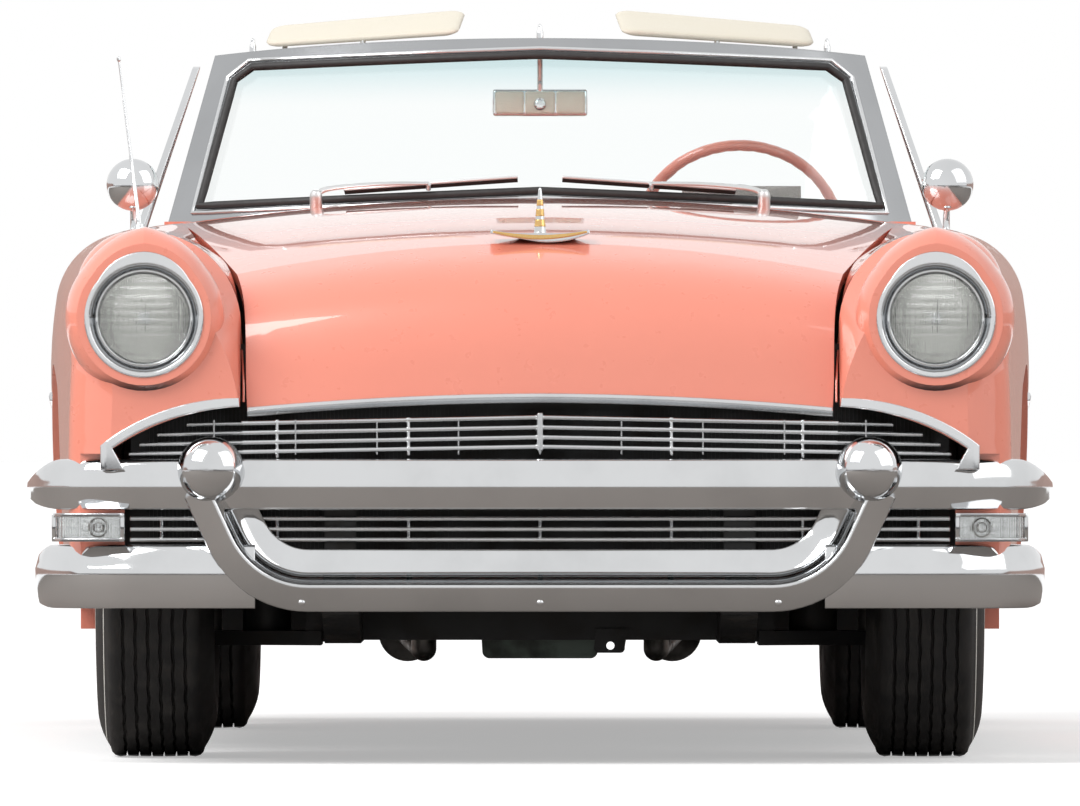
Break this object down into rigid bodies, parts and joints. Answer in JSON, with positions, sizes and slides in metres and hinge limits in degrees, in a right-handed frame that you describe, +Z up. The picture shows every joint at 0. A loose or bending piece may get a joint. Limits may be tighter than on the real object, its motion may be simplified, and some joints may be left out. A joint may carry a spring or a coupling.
{
  "type": "1950s convertible car",
  "caption": "Full-size open two-door convertible of the middle 1950s with round guards on a chrome bumper, hooded lamps, hinged doors and lids.",
  "frame": {"origin": "On the ground, under the middle of the overall length and width", "axes": "+X to the car's left, +Y to the rear (the nose points to -Y), +Z up"},
  "size_m": [2.023, 5.457, 1.4971],
  "materials": {
    "paint": "gloss",
    "underbody": "satin",
    "chrome": "polished",
    "wheel_cover": "polished",
    "glass": "clear",
    "lamp_glass": "ribbed",
    "red_lens": "ribbed",
    "tyre": "matte",
    "seat": "grained",
    "trim_panel": "grained",
    "boot_cloth": "woven",
    "visor": "grained",
    "engine": "painted",
    "steel": "plain",
    "wheel_rim": "gloss",
    "dash": "satin"
  },
  "bodies": {
    "car": {"bumper_cradle": "chrome", "bumper_guards": "chrome", "bumper_irons": "underbody", "bumper_upper_bar": "chrome", "bumper_wings": "chrome", "cowl": "paint", "dashboard": "dash", "engine": "engine", "exhaust": "steel", "firewall": "paint", "floor": "underbody", "frame": "underbody", "front_fenders": "paint", "front_seat_back": "seat", "front_seat_cushion": "seat", "front_suspension": "underbody", "fuel_tank": "underbody", "grille": "chrome", "headlamp_rings": "chrome", "headlamps": "lamp_glass", "inside_mirror": "chrome", "mirrors_and_antenna": "chrome", "parking_lamps": "lamp_glass", "radiator": "underbody", "rear_axle": "underbody", "rear_bumper": "chrome", "rear_quarters": "paint", "rear_seat_back": "seat", "rear_seat_cushion": "seat", "rear_side_trims": "trim_panel", "rear_tub": "trim_panel", "steering_column": "dash", "sun_visors": "visor", "tail_lamps": "red_lens", "tail_panel": "paint", "top_boot": "boot_cloth", "windshield_frame": "chrome", "windshield_glass": "glass", "wipers": "chrome"},
    "hood": {"hood": "paint", "hood_trim": "chrome"},
    "trunk_lid": {"trunk_lid": "paint"},
    "door_left": {"door_left": "paint", "vent_frame_left": "chrome", "vent_glass_left": "glass"},
    "door_right": {"door_right": "paint", "vent_frame_right": "chrome", "vent_glass_right": "glass"},
    "knuckle_left": {"knuckle_left": "steel"},
    "knuckle_right": {"knuckle_right": "steel"},
    "steering_wheel": {"steering_wheel": "wheel_rim"},
    "wheel_front_left": {"tyre_front_left": "tyre", "wheel_front_left": "wheel_cover"},
    "wheel_front_right": {"tyre_front_right": "tyre", "wheel_front_right": "wheel_cover"},
    "wheel_rear_left": {"tyre_rear_left": "tyre", "wheel_rear_left": "wheel_cover"},
    "wheel_rear_right": {"tyre_rear_right": "tyre", "wheel_rear_right": "wheel_cover"}
  },
  "joints": [
    {"name": "hood_hinge", "type": "hinge", "parent": "car", "child": "hood", "pos_m": [0, -1.0075, 1.103], "axis": [-1, 0, 0], "range_deg": [0, 50]},
    {"name": "trunk_hinge", "type": "hinge", "parent": "car", "child": "trunk_lid", "pos_m": [0, 1.4865, 1.014], "axis": [1, 0, 0], "range_deg": [0, 65]},
    {"name": "door_left_hinge", "type": "hinge", "parent": "car", "child": "door_left", "pos_m": [0.962, -0.681, 0.7], "axis": [0, 0, -1], "range_deg": [0, 65]},
    {"name": "door_right_hinge", "type": "hinge", "parent": "car", "child": "door_right", "pos_m": [-0.962, -0.681, 0.7], "axis": [0, 0, 1], "range_deg": [0, 65]},
    {"name": "steering_wheel_turn", "type": "hinge", "parent": "car", "child": "steering_wheel", "pos_m": [0.408, -0.28, 1.04], "axis": [0, 0.8829, 0.4695], "range_deg": [-640, 640]},
    {"name": "steer_left", "type": "hinge", "parent": "car", "child": "knuckle_left", "pos_m": [0.65, -1.839, 0.3665], "axis": [0, 0, 1], "range_deg": [-32, 32]},
    {"name": "steer_right", "type": "hinge", "parent": "car", "child": "knuckle_right", "pos_m": [-0.65, -1.839, 0.3665], "axis": [0, 0, 1], "range_deg": [-32, 32]},
    {"name": "spin_front_left", "type": "hinge", "parent": "knuckle_left", "child": "wheel_front_left", "pos_m": [0.745, -1.839, 0.3665], "axis": [1, 0, 0], "continuous": true},
    {"name": "spin_front_right", "type": "hinge", "parent": "knuckle_right", "child": "wheel_front_right", "pos_m": [-0.745, -1.839, 0.3665], "axis": [1, 0, 0], "continuous": true},
    {"name": "spin_rear_left", "type": "hinge", "parent": "car", "child": "wheel_rear_left", "pos_m": [0.72, 1.285, 0.3665], "axis": [1, 0, 0], "continuous": true},
    {"name": "spin_rear_right", "type": "hinge", "parent": "car", "child": "wheel_rear_right", "pos_m": [-0.72, 1.285, 0.3665], "axis": [1, 0, 0], "continuous": true}
  ],
  "couplings": [
    {"joint": "steer_left", "follows": "steering_wheel_turn", "ratio": 0.05},
    {"joint": "steer_right", "follows": "steering_wheel_turn", "ratio": 0.05}
  ]
}
